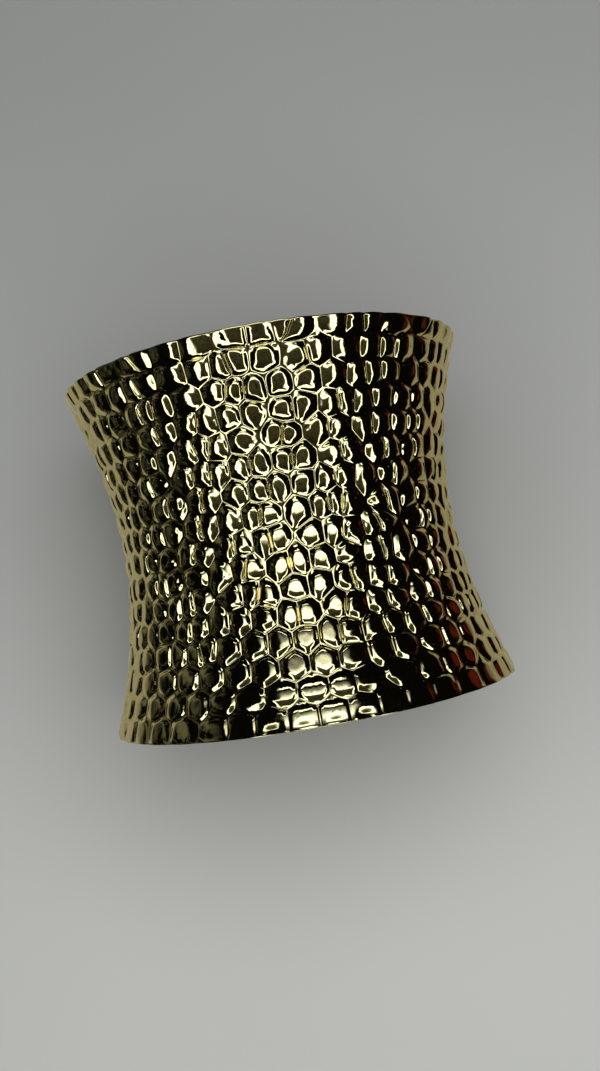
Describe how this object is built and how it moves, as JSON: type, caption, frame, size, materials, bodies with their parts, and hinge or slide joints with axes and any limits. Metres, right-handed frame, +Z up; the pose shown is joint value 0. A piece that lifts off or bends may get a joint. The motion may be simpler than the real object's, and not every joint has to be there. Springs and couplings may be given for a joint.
{
  "type": "open cuff bangle",
  "caption": "Wide open cuff bangle in polished gold tone, narrow at the waist and flared at both rims, embossed all over with rows of raised pebble cells.",
  "frame": {"origin": "centre of the box's base, on the surface that the four corners of the band stand on, midway between the rims", "axes": "+Z up through the crown, +Y along the wrist's axis, +X across the wrist, the opening faces down"},
  "size_m": [0.072, 0.0604, 0.0567],
  "materials": {
    "polished_gold": "mirror polish over an embossed relief"
  },
  "bodies": {
    "root": {"cuff_band": "polished_gold"}
  },
  "joints": []
}
